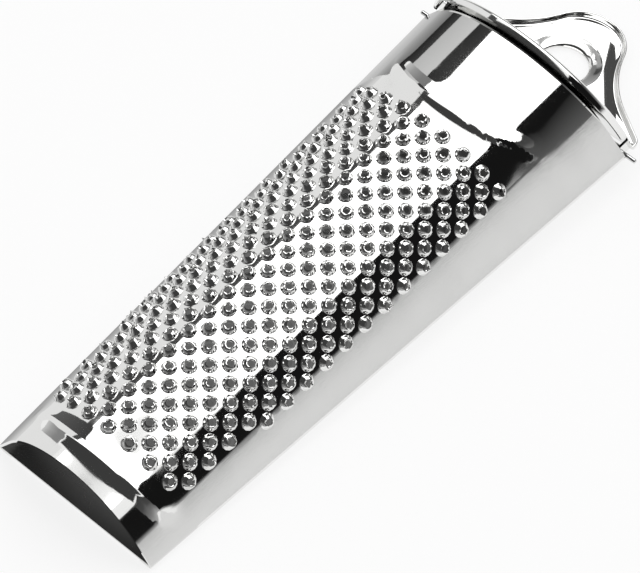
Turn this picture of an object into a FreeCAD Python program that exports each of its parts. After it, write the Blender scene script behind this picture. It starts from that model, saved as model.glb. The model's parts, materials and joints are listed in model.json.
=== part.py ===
import FreeCAD, Part
import math
import os

# Nutmeg grater: a tapered arched shell with a punched field, hemmed round a flat back plate.
# A half-round lid with a hanging tab turns on a wire at the top of the back.
# The punched field is the part that takes the most care: every burr is a hollow pyramid, torn open at its tip.
# Working frame: X across, Y from the open end to the lid, Z out of the grating face, z = 0 on the back of the plate.
# Everything is in millimetres.

V = FreeCAD.Vector

# Sheet metal
sheet = 0.5
hem_width = 2.6
hem_round = 0.8
plate_clearance = 0.05

# Body
body_length = 119.2
crown_height_bottom = 13.7
crown_height_top = 20.3
arch_radius_bottom = 18.6
arch_radius_top = 21.6
flank_angle = 57.0
rim_slope = 0.15
arch_flats = 18
cut_margin = 8.0

# Punched field: burrs in columns along the body, every other column moved on by half a pitch
burr_pitch_across = 2.43
burr_pitch_along = 5.075
burr_foot = 1.1
burr_tip = 0.55
burr_height = 0.95
field_setback = 24.05
field_end_margin = 10.5
field_bow = 0.00365
field_overhang = 0.2

# Hinge wire and the curl that holds it
wire_diameter = 0.9
wire_overhang = 2.9
wire_end_round = 0.27
wire_above_rim = 0.75
curl_clearance = 0.03
curl_end_gap = 1.3
curl_opening = 70.0
hem_relief = 1.4

# Lid
lid_slope = 0.276
lid_side_gap = 0.41
lid_rim_gap = 0.25
skirt_height = 1.65
skirt_end = 4.4
lid_edge_round = 0.8
ear_gap = 0.2
ear_radius = 1.6
ear_clearance = 0.05

# Hanging tab on the lid
tab_lean = 11.0
tab_setback = 0.72
tab_head_radius = 8.4
tab_shoulder_angle = 68.0
tab_flare_angle = 32.0
tab_wing_run = 7.0
tab_wing_height = 4.45
tab_wing_overhang = 0.4
tab_corner_radius = 2.0
tab_rim_height = 1.2
hole_below_head = 5.4
hole_radius = 4.85
hole_ring_radius = 7.15
hole_ring_depth = 0.75
hole_throat_length = 0.8

# Nutmeg compartment
compartment_depth = 19.5
floor_flange = 3.0
floor_clearance = 0.1

# Where things follow from the sizes above
bend = math.radians(flank_angle)
far = 2 * (arch_radius_top + body_length)
tiny = sheet / 50
wire_radius = wire_diameter / 2
curl_radius = wire_radius + curl_clearance + sheet
wire_y = body_length + wire_above_rim
wire_z = sheet - curl_radius
crown_rim_y = body_length - rim_slope * crown_height_top
lid_under_y = crown_rim_y + lid_rim_gap + lid_slope * crown_height_top
axis_z_bottom = crown_height_bottom - arch_radius_bottom
axis_z_top = crown_height_top - arch_radius_top


def arch_frame():
    """The arch's axis: start, direction and the square direction that points to the crown."""
    start = V(0, 0, axis_z_bottom)
    along = V(0, body_length, axis_z_top - axis_z_bottom).normalize()
    up = V(0, -along.z, along.y)
    return start, along, up


def arch_radius(y):
    """Outer radius of the arch at a place along the body."""
    return arch_radius_bottom + (arch_radius_top - arch_radius_bottom) * y / body_length


def arch_point(turn, y, radius):
    """A point at a turn from the crown, at a place along the axis and a distance from it."""
    start, along, up = arch_frame()
    return start + along * (y / along.y) + V(radius * math.sin(turn), 0, 0) + up * (radius * math.cos(turn))


def half_width(y, z, inset):
    """Half the body's width on its flanks, at a height over the back, inside the given inset."""
    radius = arch_radius(y) - inset
    centre_z = axis_z_bottom + (axis_z_top - axis_z_bottom) * y / body_length
    return radius * math.sin(bend) + (centre_z + radius * math.cos(bend) - z) / math.tan(bend)


lid_reach = max(math.hypot(half_width(body_length, skirt_end, 0), skirt_end),
                crown_height_top * math.hypot(1, lid_slope))
lid_radius = lid_reach + lid_side_gap + sheet
curl_half_length = lid_radius - curl_end_gap
wire_half_length = lid_radius + wire_overhang
shoulder = math.radians(tab_shoulder_angle)
flare = math.radians(tab_flare_angle)
tab_half_width = lid_radius + tab_wing_overhang
tab_sweep_radius = (tab_half_width - tab_head_radius * math.sin(shoulder) - tab_wing_run * math.cos(flare)
                    - tab_corner_radius * (1 - math.sin(flare))) / (math.sin(shoulder) - math.sin(flare))
tab_head_height = (tab_wing_height + tab_sweep_radius * math.cos(flare) + tab_wing_run * math.sin(flare)
                   - (tab_head_radius + tab_sweep_radius) * math.cos(shoulder))
hole_height = tab_head_height - hole_below_head


def slab(x0, x1, y0, y1, z0, z1):
    """A box between two corners."""
    return Part.makeBox(x1 - x0, y1 - y0, z1 - z0, V(x0, y0, z0))


def prism_along_x(points, half_length):
    """A polygon in the YZ plane, extruded to both sides of the middle plane."""
    wire = Part.makePolygon([V(-half_length, y, z) for y, z in points + points[:1]])
    return Part.Face(wire).extrude(V(2 * half_length, 0, 0))


def polyhedron(low, high):
    """A solid between two polygons of as many corners, each side flat."""
    count = len(low)
    loops = [low[::-1], high]
    loops += [[low[i], low[(i + 1) % count], high[(i + 1) % count], high[i]] for i in range(count)]
    return Part.Solid(Part.Shell([Part.Face(Part.makePolygon(loop + loop[:1])) for loop in loops]))


def filled_body(inset, base_z):
    """The body as one filled solid, its arch and flanks moved in by inset, down to base_z.

    The arch is drawn as flats that run to one point, as the sides of a cone do. Their corners are on the true
    arch, which they leave by less than 0.04 mm, and the feet of the burrs cross them in straight lines.
    """
    start, along, up = arch_frame()
    ends = []
    for y in (-cut_margin, body_length + cut_margin):
        radius = arch_radius(y) - inset
        outline = [arch_point(bend * (2 * k / arch_flats - 1), y, radius) for k in range(arch_flats + 1)]
        for side, place in ((1, len(outline)), (-1, 0)):
            edge = arch_point(side * bend, y, radius)
            down = V(side * math.cos(bend), 0, 0) - up * math.sin(bend)
            outline.insert(place, edge + down * ((edge.z - base_z) / -down.z))
        ends.append(outline)
    return polyhedron(ends[0], ends[1])


def between_ends(shape):
    """Cut the body square at the open end and along the slanted rim under the lid."""
    rim_low = body_length + rim_slope * far
    rim_high = body_length - rim_slope * far
    keep = prism_along_x([(0, -far), (rim_low, -far), (rim_high, far), (0, far)], far)
    return shape.common(keep)


def burr_places():
    """Where the burrs stand: turn from the crown and place along the axis, in bowed rows."""
    first = crown_rim_y - field_setback
    rows = int((first - field_end_margin) / burr_pitch_along) + 1
    side_columns = int(arch_radius(first) * bend / burr_pitch_across)
    places = []
    for column in range(-side_columns, side_columns + 1):
        across = column * burr_pitch_across
        moved_on = (column + side_columns) % 2
        for row in range(rows - moved_on):
            y = first - (row + moved_on / 2) * burr_pitch_along + field_bow * across ** 2
            if abs(across) < arch_radius(y) * bend + field_overhang:
                places.append((across / arch_radius(y), y))
    return places


def burr(turn, y):
    """One burr as two pyramids that share their square tip: the outside, and the hole through the sheet."""
    radius = arch_radius(y)
    around = ((-1, -1), (1, -1), (1, 1), (-1, 1))
    foot = [arch_point(turn + i * burr_foot / radius, y + j * burr_foot, radius) for i, j in around]
    tip = [arch_point(turn + i * burr_tip / radius, y + j * burr_tip, radius + burr_height) for i, j in around]
    low = radius - 2 * sheet
    hole = [arch_point(turn + i * burr_tip / radius, y + j * burr_tip, low) for i, j in around]
    sunk = [f + (f - t) * (sheet / 2 / burr_height) for f, t in zip(foot, tip)]
    clear = [t + (t - h) * (sheet / burr_height) for h, t in zip(hole, tip)]
    return polyhedron(sunk, tip), polyhedron(hole, clear)


def grater_shell():
    outer = filled_body(0, -sheet)
    edges = [e for e in outer.Edges if abs(e.BoundBox.ZMin + sheet) < tiny and e.BoundBox.ZLength < tiny
             and e.BoundBox.YLength > body_length]
    outer = outer.makeFillet(hem_round, edges)
    walls = between_ends(outer.cut(filled_body(sheet, 0)))
    opening = [V(side * (half_width(y, 0, sheet) - hem_width), y, -2 * sheet)
               for side, y in ((-1, -cut_margin), (1, -cut_margin),
                               (1, body_length + cut_margin), (-1, body_length + cut_margin))]
    walls = walls.cut(Part.Face(Part.makePolygon(opening + opening[:1])).extrude(V(0, 0, 3 * sheet)))
    relief_y = wire_y - ear_radius - hem_relief / 2
    relief_x = half_width(body_length, 0, sheet) - sheet
    walls = walls.cut(slab(-relief_x, relief_x, relief_y, body_length + cut_margin, -2 * sheet, 0))
    burrs = [burr(turn, y) for turn, y in burr_places()]
    return walls.fuse([outside for outside, hole in burrs]).cut([hole for outside, hole in burrs])


def back_plate():
    sheet_blank = slab(-far, far, 0, wire_y, 0, sheet)
    plate = filled_body(sheet + plate_clearance, 0).common(sheet_blank)
    plate = plate.cut(slab(-curl_half_length, curl_half_length, wire_y, body_length + cut_margin, -sheet, 2 * sheet))
    over = slab(-far, far, wire_y - 2 * curl_radius, wire_y, -sheet, 2 * sheet)
    over = over.cut(slab(-curl_half_length, curl_half_length, 0, wire_y, -sheet, 2 * sheet))
    plate = plate.cut(over)
    along_x = V(1, 0, 0)
    start = V(-curl_half_length, wire_y, wire_z)
    curl = Part.makeCylinder(curl_radius, 2 * curl_half_length, start, along_x)
    bore = Part.makeCylinder(wire_radius + curl_clearance, 2 * curl_half_length, start, along_x)
    reach = 3 * curl_radius
    low, high = math.radians(180), math.radians(180 + curl_opening)
    slot = prism_along_x([(wire_y, wire_z), (wire_y + reach * math.cos(low), wire_z + reach * math.sin(low)),
                          (wire_y + reach * math.cos(high), wire_z + reach * math.sin(high))], reach + curl_half_length)
    plate = plate.fuse(curl.cut(slot)).cut(bore)
    return plate.removeSplitter()


def hinge_wire():
    """The wire with its rounded ends, its outline turned about its own axis."""
    shoulder_r = wire_radius - wire_end_round
    eased = wire_end_round * math.sqrt(0.5)
    half = [(0, wire_half_length), (shoulder_r, wire_half_length),
            (shoulder_r + eased, wire_half_length - wire_end_round + eased),
            (wire_radius, wire_half_length - wire_end_round)]
    right = [V(x, wire_y, wire_z + r) for r, x in half]
    left = [V(-x, wire_y, wire_z + r) for r, x in half]
    edges = [Part.LineSegment(right[3], left[3]), Part.LineSegment(left[0], right[0])]
    for side in (right, left):
        edges += [Part.LineSegment(side[0], side[1]), Part.Arc(side[1], side[2], side[3])]
    outline = Part.Face(Part.Wire(Part.__sortEdges__([e.toShape() for e in edges])))
    rod = outline.revolve(V(0, wire_y, wire_z), V(1, 0, 0), 360)
    if rod.Volume < 0:
        rod.reverse()
    return rod


def compartment_floor():
    """A half-round pan that closes the body under the nutmeg, its flange turned down the walls."""
    floor_y = crown_rim_y - compartment_depth
    room = filled_body(sheet + floor_clearance, sheet + floor_clearance)
    pan = room.common(slab(-far, far, floor_y - floor_flange, floor_y, 0, far))
    hollow = filled_body(2 * sheet + floor_clearance, 2 * sheet + floor_clearance)
    return pan.cut(hollow.common(slab(-far, far, floor_y - 2 * floor_flange, floor_y - sheet, 0, far)))


def lid_placement():
    """Lid plane: local Y up the lid from the hinge line, local Z out of the lid."""
    turn = math.degrees(math.atan(lid_slope))
    base = V(0, lid_under_y - lid_slope * wire_z, wire_z)
    upright = FreeCAD.Rotation(V(1, 0, 0), 90 + turn)
    return FreeCAD.Placement(base, upright.multiply(FreeCAD.Rotation(V(0, 1, 0), 180)))


def tab_placement():
    """Tab plane: local X across, local Y up the tab from the hinge line, local Z out of its front."""
    return FreeCAD.Placement(V(0, wire_y, wire_z - tab_setback), FreeCAD.Rotation(V(1, 0, 0), -tab_lean))


def tab_outline(inset):
    """The bell-shaped edge of the tab, moved in by inset: head arc, sweep arcs, wings and corners."""
    head, sweep = tab_head_radius - inset, tab_sweep_radius + inset
    corner = tab_corner_radius - inset
    reach = tab_head_radius + tab_sweep_radius
    sweep_x, sweep_h = reach * math.sin(shoulder), tab_head_height + reach * math.cos(shoulder)
    middle = (shoulder + flare) / 2
    run = tab_wing_run
    wing_x = sweep_x - sweep * math.sin(flare) + run * math.cos(flare)
    wing_h = sweep_h - sweep * math.cos(flare) - run * math.sin(flare)
    corner_x, corner_h = wing_x - corner * math.sin(flare), wing_h - corner * math.cos(flare)
    turn = (flare + math.pi / 2) / 2
    half = [(head * math.sin(shoulder), tab_head_height + head * math.cos(shoulder)),
            (sweep_x - sweep * math.sin(middle), sweep_h - sweep * math.cos(middle)),
            (sweep_x - sweep * math.sin(flare), sweep_h - sweep * math.cos(flare)),
            (wing_x, wing_h),
            (corner_x + corner * math.sin(turn), corner_h + corner * math.cos(turn)),
            (corner_x + corner, corner_h),
            (corner_x + corner, -tab_head_radius)]
    right = [V(x, h, 0) for x, h in half]
    left = [V(-x, h, 0) for x, h in half]
    edges = [Part.Arc(left[0], V(0, tab_head_height + head, 0), right[0]).toShape()]
    for side in (right, left):
        edges.append(Part.Arc(side[0], side[1], side[2]).toShape())
        edges.append(Part.LineSegment(side[2], side[3]).toShape())
        edges.append(Part.Arc(side[3], side[4], side[5]).toShape())
        edges.append(Part.LineSegment(side[5], side[6]).toShape())
    edges.append(Part.LineSegment(right[6], left[6]).toShape())
    return Part.Face(Part.Wire(Part.__sortEdges__(edges)))


def tab():
    """The tab in its own plane: sheet, turned-up rim and the ring pressed round the hole."""
    plate = tab_outline(0).extrude(V(0, 0, sheet))
    plate.translate(V(0, 0, -sheet))
    rim = tab_outline(0).extrude(V(0, 0, tab_rim_height))
    rim = rim.cut(tab_outline(sheet).extrude(V(0, 0, tab_rim_height)))
    centre = V(0, hole_height, 0)
    throat_end = -hole_ring_depth - hole_throat_length
    ring = [(hole_ring_radius + sheet, 0), (hole_ring_radius, 0), (hole_radius, -hole_ring_depth),
            (hole_radius, throat_end), (hole_radius + sheet, throat_end),
            (hole_radius + sheet, -hole_ring_depth - sheet / 2), (hole_ring_radius, -sheet),
            (hole_ring_radius + sheet, -sheet)]
    profile = Part.Face(Part.makePolygon([centre + V(r, 0, z) for r, z in ring + ring[:1]]))
    collar = profile.revolve(centre, V(0, 0, 1), 360)
    blank = Part.makeCylinder(hole_ring_radius, 2 * sheet, centre + V(0, 0, -1.5 * sheet))
    return plate.cut(blank).fuse([rim, collar])


def lid():
    place = lid_placement()
    cap = Part.makeCylinder(lid_radius, skirt_height, V(0, 0, sheet - skirt_height))
    top_edge = [e for e in cap.Edges if e.BoundBox.ZLength < tiny and e.BoundBox.ZMin > 0]
    cap = cap.makeFillet(lid_edge_round, top_edge)
    cap = cap.cut(Part.makeCylinder(lid_radius - sheet, skirt_height, V(0, 0, -skirt_height)))
    reach = 2 * lid_radius
    cap = cap.cut(slab(-reach, reach, -reach, 0, -reach, reach))
    cap = cap.cut(slab(-reach, reach, -reach, skirt_end, -reach, 0))
    cap = cap.fuse(slab(-lid_radius, lid_radius, -lid_radius, 0, 0, sheet))
    cap.Placement = place
    flag = tab()
    flag.Placement = tab_placement()
    behind = slab(-reach, reach, -reach, reach, -reach, 0)
    behind.Placement = FreeCAD.Placement(tab_placement().multVec(V(0, 0, -sheet)), tab_placement().Rotation)
    cap = cap.cut(behind)
    below = slab(-reach, reach, -reach, reach, -reach, 0)
    below.Placement = place
    flag = flag.cut(below)
    body = cap.fuse(flag)
    for side in (-1, 1):
        inner_x = curl_half_length + ear_gap
        start_x = inner_x if side > 0 else -inner_x - sheet
        ear = Part.makeCylinder(ear_radius, sheet, V(start_x, wire_y, wire_z), V(1, 0, 0))
        stem = slab(start_x, start_x + sheet, wire_y, lid_under_y + sheet, wire_z - ear_radius, wire_z + ear_radius)
        stem = stem.cut(behind)
        above = slab(-reach, reach, -reach, reach, sheet / 2, reach)
        above.Placement = place
        body = body.fuse(ear.fuse(stem.cut(above)))
    bore = Part.makeCylinder(wire_radius + ear_clearance, 2 * reach, V(-reach, wire_y, wire_z), V(1, 0, 0))
    return body.cut(bore).removeSplitter()


def rest_placement():
    """Lay the grater on its back: it touches the table at the hem ends and the tip of the tab."""
    tip = tab_placement().multVec(V(0, tab_head_height + tab_head_radius, -sheet))
    angle = math.atan2(-sheet - tip.z, tip.y)
    turn = FreeCAD.Rotation(V(1, 0, 0), math.degrees(angle))
    high = turn.multVec(V(0, 0, crown_height_bottom))
    far = turn.multVec(tip)
    low = turn.multVec(V(0, 0, -sheet))
    return FreeCAD.Placement(V(0, -(high.y + far.y) / 2, -low.z), turn)


pieces = {
    "grater_shell": grater_shell,
    "back_plate": back_plate,
    "compartment_floor": compartment_floor,
    "hinge_wire": hinge_wire,
    "lid": lid,
}

os.makedirs("parts", exist_ok=True)
rest = rest_placement()
for name, make in pieces.items():
    solid = make()
    solid.Placement = rest.multiply(solid.Placement)
    print(name, "valid", solid.isValid(), "solids", len(solid.Solids), "volume", round(solid.Volume, 1),
          "box", [round(v, 2) for v in (solid.BoundBox.XMin, solid.BoundBox.XMax, solid.BoundBox.YMin,
                                        solid.BoundBox.YMax, solid.BoundBox.ZMin, solid.BoundBox.ZMax)])
    solid.exportStep("parts/" + name + ".step")
tab_frame = rest.multiply(tab_placement())
print("burrs", len(burr_places()))
print("hinge axis at", rest.multVec(V(0, wire_y, wire_z)))
print("hole centre", tab_frame.multVec(V(0, hole_height, -hole_ring_depth - hole_throat_length / 2)))
print("hole axis", tab_frame.Rotation.multVec(V(0, 0, 1)))
print("open end centre", rest.multVec(V(0, 0, sheet / 2)), "outward", rest.Rotation.multVec(V(0, -1, 0)))
print("resting tilt in degrees", math.degrees(rest.Rotation.Angle))
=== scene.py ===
# %% [markdown]
# # A nutmeg grater of polished sheet steel
#
# The real grater is one tapered arch of thin sheet, punched from behind into a field of torn burrs and hemmed
# round a flat back plate. A half-round lid with a hanging tab turns on a wire at the top of the back.
#
# Polished steel shows nothing of itself: it shows what it reflects. So this lesson spends its care on three
# things: true surfaces with true normals, the punched field, and the pale room that the steel mirrors.

import json
import math

import bpy
import numpy as np
from mathutils import Matrix, Vector, geometry


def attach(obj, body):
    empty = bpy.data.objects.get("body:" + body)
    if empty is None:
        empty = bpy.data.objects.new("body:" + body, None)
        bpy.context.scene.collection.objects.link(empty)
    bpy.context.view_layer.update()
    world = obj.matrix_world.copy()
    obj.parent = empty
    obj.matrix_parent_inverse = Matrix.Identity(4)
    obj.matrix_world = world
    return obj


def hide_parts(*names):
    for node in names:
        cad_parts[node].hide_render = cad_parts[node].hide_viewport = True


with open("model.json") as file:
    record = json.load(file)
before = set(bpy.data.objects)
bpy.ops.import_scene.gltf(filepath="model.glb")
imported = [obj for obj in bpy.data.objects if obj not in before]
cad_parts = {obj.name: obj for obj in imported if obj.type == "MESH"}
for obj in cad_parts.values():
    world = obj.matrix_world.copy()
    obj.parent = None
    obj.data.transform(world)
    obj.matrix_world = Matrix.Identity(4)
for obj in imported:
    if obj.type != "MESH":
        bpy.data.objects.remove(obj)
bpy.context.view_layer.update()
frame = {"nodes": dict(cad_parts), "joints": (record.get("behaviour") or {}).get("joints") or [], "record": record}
record = frame["record"]
print("nodes", sorted(frame["nodes"]))

# %% [markdown]
# ## The working frame
#
# The grater was drawn in the frame of its own back plate: X across, Y from the open end to the lid and Z out of
# the punched face, in millimetres. On the table it lies on its back and leans by about two degrees, because the
# tip of the tab and the two lower hem ends touch first. Every surface below is worked out in the plate's frame
# and laid down at the end by one turn and one shift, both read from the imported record.

# %% From the plate's frame to the table's
wire_y, wire_z = 119.95, -0.48
outward = next(m for m in record["mounts"] if m["name"] == "open_end_rim")["axis"]
lean = math.atan2(-outward[2], -outward[1])
hinge = np.array(frame["joints"][0]["pos_m"])
turn_down = np.array([[1, 0, 0],
                      [0, math.cos(lean), -math.sin(lean)],
                      [0, math.sin(lean), math.cos(lean)]])
shift = 1000 * hinge - turn_down @ np.array([0, wire_y, wire_z])


def on_table(points):
    """Plate-frame points in mm, turned down by the lean and shifted, as row-frame points in metres."""
    return (np.asarray(points, float) @ turn_down.T + shift) / 1000


print("lean in degrees", round(math.degrees(lean), 3), "shift in mm", shift.round(3))

# %% [markdown]
# ## The camera
#
# The photograph looks down the grater from its lower left, from far away, so lines hardly run together. The
# place, the direction and the lens were fitted to the hem lines, the silhouette and the regular grid of burrs.

# %% Camera
scene = bpy.context.scene


def placed(name, data):
    """A new object in the scene, made of the given data."""
    thing = bpy.data.objects.new(name, data)
    scene.collection.objects.link(thing)
    return thing


camera_data = bpy.data.cameras.new("camera")
camera_data.sensor_width = 36
camera_data.lens = 236.07
camera_data.clip_start = 0.05
camera = placed("camera", camera_data)
view_direction = np.array([-0.39893, 0.40884, -0.82079])
view_up = np.array([-0.54880, 0.61065, 0.57090])
view_direction /= np.linalg.norm(view_direction)
view_right = np.cross(view_direction, view_up)
view_right /= np.linalg.norm(view_right)
view_up = np.cross(view_right, view_direction)
camera.matrix_world = Matrix.Translation((0.302467, -0.318503, 0.622794)) @ Matrix(
    np.stack([view_right, view_up, -view_direction], axis=1).tolist()).to_4x4()
scene.camera = camera
print("camera at", [round(v, 3) for v in camera.matrix_world.translation])

# %% [markdown]
# ## The sheet as a function
#
# The front of the grater is a cone-like arch that runs out tangentially into two flat flanks. One function
# gives all of it: `u` is the distance round the sheet from the crown, `y` the place along the axis and `lift`
# the distance out of the sheet. Two shallow beads are pressed across the arch, one above and one below the
# field: they stiffen the sheet, and on the real piece they are seen only as kinks in what it mirrors.

# %% The arched sheet
sheet = 0.5
body_length = 119.2
bend = math.radians(57)
rim_slope = 0.15
radius_low, radius_high = 18.6, 21.6
axis_low, axis_high = -4.9, -1.3
axis_rise = (axis_high - axis_low) / body_length
along_y = 1 / math.hypot(1, axis_rise)
along_z = axis_rise * along_y
bead_height = 0.33
bead_lines = ((96.9, 0.018), (5.2, 0.007))
bead_below, bead_above = 1.15, 2.0
bead_end, bead_end_blur = 17.5, 0.8


def arch_radius(y):
    """Outer radius: a straight line from the lower to the upper radius."""
    return radius_low + (radius_high - radius_low) * y / body_length


def bead_lift(u, y):
    """Two ridges across the sheet, each bowed by the square of u and faded out on the shoulders.

    Along the body a ridge is a bell curve, narrower on the side of the open end than on the side of the lid.
    """
    fade = 1 / (1 + np.exp((np.abs(u) - bead_end) / bead_end_blur))
    ridges = 0
    for place, bow in bead_lines:
        away = y - (place + bow * u * u)
        ridges = ridges + np.exp(-(away / np.where(away < 0, bead_below, bead_above)) ** 2)
    return bead_height * fade * ridges


def sheet_point(u, y, lift=0.0):
    """Turn by u / radius up to the bend, then go straight on; the lift is added along the surface's normal."""
    u, y = np.asarray(u, float), np.asarray(y, float)
    radius = arch_radius(y)
    turn = np.clip(u / radius, -bend, bend)
    beyond = u - turn * radius
    out = radius + bead_lift(u, y) + lift
    x = out * np.sin(turn) + beyond * np.cos(turn)
    high = out * np.cos(turn) - beyond * np.sin(turn)
    return np.stack([x, y - along_z * high, axis_low + axis_rise * y + along_y * high], axis=-1)


def sheet_normal(u, y):
    """Cross product of the two tangents, each by a small central difference."""
    step = 1e-3
    across = sheet_point(u + step, y) - sheet_point(u - step, y)
    along = sheet_point(u, y + step) - sheet_point(u, y - step)
    normal = np.cross(across, along)
    return normal / np.linalg.norm(normal, axis=-1, keepdims=True)


def place_along(u, share):
    """Where the sheet crosses the given share of the way from the square open end to the slanted rim."""
    y = share * body_length + 0 * u
    for _ in range(6):
        point = sheet_point(u, y)
        y = y + share * (body_length - rim_slope * point[..., 2]) - point[..., 1]
    return y


print("crown heights in mm", sheet_point(0, place_along(0.0, np.array([0.0, 1.0])))[:, 2].round(2))

# %% [markdown]
# ## The punched field
#
# The burrs stand in columns along the body, every other column moved on by half a pitch, in rows that bow a
# little towards the lid at the sides, as a punch row does when flat sheet is bent afterwards. Each burr is a
# dome torn open by a star-shaped punch. There are hundreds, so each one has only a few dozen faces: twelve
# round and five bands high. Every burr has its own turn and its own ragged lip, drawn from one seeded
# generator.

# %% Places of the burrs
rng = np.random.default_rng(7)
pitch_across, pitch_along = 2.43, 5.075
first_row = 92.105
row_count, side_columns = 17, 8
row_bow = 0.00365
field_overhang = 0.2

column, row = np.meshgrid(np.arange(-side_columns, side_columns + 1), np.arange(row_count), indexing="ij")
moved_on = (column + side_columns) % 2
burr_u = pitch_across * column
burr_y = first_row - (row + moved_on / 2) * pitch_along + row_bow * burr_u ** 2
stands = (row < row_count - moved_on) & (np.abs(burr_u) < arch_radius(burr_y) * bend + field_overhang)
burr_u, burr_y = burr_u[stands], burr_y[stands]
burr_count = len(burr_u)
print("burrs", burr_count)

# %% The shape of one burr
ring_steps = 12
ring_angle = 2 * np.pi * np.arange(ring_steps) / ring_steps
foot_radius = 1.55
exit_radius = 0.86
ring_radius = np.array([foot_radius, 1.38, 1.08, 0.74, 0.54, exit_radius])
ring_lift = np.array([0.0, 0.24, 0.78, 0.90, 0.38, -sheet])
raggedness = np.array([0, 0, 0.25, 1.0, 0.8, 0])
lift_share = np.array([0, 0, 0.5, 1, 0.6, 0])
lip_wave, lip_petals, lip_lift, size_spread = 0.07, 0.04, 0.17, 0.04


def burr_rings():
    """Rings of every burr as (u, y, lift) offsets: circles that narrow upwards, with a ragged lip and throat.

    The lip and the throat are bent by a four-lobed wave and by random petals, more at the lip than below it.
    Each burr is also a little higher or lower than the next one.
    """
    petals = rng.normal(0, 1, (burr_count, ring_steps))
    swing = rng.uniform(0, 2 * np.pi, burr_count)
    lobes = np.cos(4 * ring_angle[None, :] + swing[:, None])
    size = 1 + size_spread * rng.normal(0, 1, burr_count)
    wave = lip_wave * lobes + lip_petals * petals
    curl = lip_lift * lobes + lip_lift * petals
    ragged = raggedness[None, :, None]
    radius = ring_radius[None, :, None] * np.ones((burr_count, 1, ring_steps)) + ragged * wave[:, None, :]
    lift = ring_lift[None, :, None] + ragged * curl[:, None, :] * lift_share[None, :, None]
    lift[:, 2:5] = lift[:, 2:5] * size[:, None, None]
    return radius * np.cos(ring_angle), radius * np.sin(ring_angle), lift


ring_u, ring_y, ring_h = burr_rings()
print("faces of one burr", ring_steps * (len(ring_radius) - 1))

# %% [markdown]
# ## One skin for the whole body
#
# The sheet between the burrs has to be one surface with real holes. A triangulation of the flat `u, y` plane
# takes the outline, an even grid of points and one twelve-sided ring for each burr, and the sheet function then
# bends it. The flanks, the hems and the inside are strips: a profile carried along the body. All parts share
# their edge points, so that a merge of doubles closes the skin.

# %% Triangulate the punched sheet
side_u = 21.9
grid_step = 1.0
fine_step, least_step = 0.45, 0.3
fine_spans = ((2.4, 10.8), (93.9, 107.0))
edge_margin, ring_margin = 0.45, 0.35
inside_ring = 0.93
end_across = np.linspace(-side_u, side_u, 45)
relief_share = 0.9905
side_shares = np.sort(np.append(np.linspace(0, 1, 120), [relief_share - 2e-4, relief_share + 2e-4]))


def bead_rows(low, high):
    """Rows of the grid along the body, closer together over the two beads."""
    rows = [np.arange(low, high, grid_step)] + [np.arange(*span, fine_step) for span in fine_spans]
    rows = np.unique(np.concatenate(rows).round(3))
    return rows[np.concatenate([[True], np.diff(rows) > least_step])]


def triangulated(points, edges, wanted):
    """Triangles of the plane that hold the given edges, keep the given points and have a wanted centre."""
    made = geometry.delaunay_2d_cdt([Vector(p) for p in points.tolist()], edges, [], 0, 1e-6, True)
    flat = np.array([points[given[0]] if given else tuple(v) for v, given in zip(made[0], made[3])])
    triangles = np.array([f for f in made[2] if len(f) == 3])
    triangles = triangles[wanted(flat[triangles].mean(1))]
    corner = flat[triangles]
    turn = np.cross(corner[:, 1] - corner[:, 0], corner[:, 2] - corner[:, 0])
    triangles[turn < 0] = triangles[turn < 0][:, ::-1]
    return flat, triangles


def in_sheet(centre, hole_radius):
    """Which places lie inside the outline and outside every burr's ring."""
    inside = (np.abs(centre[:, 0]) < side_u) & (centre[:, 1] > place_along(centre[:, 0], 0.0))
    inside &= centre[:, 1] < place_along(centre[:, 0], 1.0)
    for u, y in zip(burr_u, burr_y):
        inside &= np.hypot(centre[:, 0] - u, centre[:, 1] - y) > inside_ring * hole_radius
    return inside


def punched_sheet(hole_radius):
    """Triangles of the u, y plane inside the outline and outside a ring of that radius at each burr."""
    ends = [np.stack([end_across, place_along(end_across, share)], -1) for share in (0.0, 1.0)]
    sides = [np.stack([0 * side_shares + u, place_along(0 * side_shares + u, side_shares)], -1)
             for u in (side_u, -side_u)]
    outline = np.concatenate([ends[0][:-1], sides[0][:-1], ends[1][::-1][:-1], sides[1][::-1][:-1]])
    rings = np.stack([burr_u[:, None] + hole_radius * np.cos(ring_angle),
                      burr_y[:, None] + hole_radius * np.sin(ring_angle)], -1).reshape(-1, 2)
    us, ys = np.meshgrid(np.arange(-21.0, 21.1, grid_step), bead_rows(0.8, 118.6), indexing="ij")
    free = np.stack([us.ravel(), ys.ravel()], -1)
    low, high = place_along(free[:, 0], 0.0), place_along(free[:, 0], 1.0)
    free = free[(free[:, 1] > low + edge_margin) & (free[:, 1] < high - edge_margin)]
    gap = np.full(len(free), 9.0)
    for u, y in zip(burr_u, burr_y):
        gap = np.minimum(gap, np.hypot(free[:, 0] - u, free[:, 1] - y))
    free = free[gap > hole_radius + ring_margin]
    points = np.concatenate([outline, rings, free])
    count = len(outline)
    loops = [list(range(count))]
    loops += [[count + ring_steps * k + j for j in range(ring_steps)] for k in range(burr_count)]
    edges = [(loop[i], loop[(i + 1) % len(loop)]) for loop in loops for i in range(len(loop))]
    return triangulated(points, edges, lambda centre: in_sheet(centre, hole_radius))


outer_flat, outer_triangles = punched_sheet(foot_radius)
inner_flat, inner_triangles = punched_sheet(exit_radius)
print("triangles outside and inside", len(outer_triangles), len(inner_triangles))

# %% Strips of quads
hem_width, hem_round = 2.6, 0.8
flank_steps, fold_steps, inner_steps = 9, 8, 5


def strip_faces(rows, columns, closed=False):
    """Quads of a grid of points, row by row; a closed grid joins its last column to its first."""
    index = np.arange(rows * columns).reshape(rows, columns)
    right = np.roll(index, -1, axis=1) if closed else index[:, 1:]
    left = index if closed else index[:, :-1]
    return np.stack([left[:-1], right[:-1], right[1:], left[1:]], -1).reshape(-1, 4)


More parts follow.
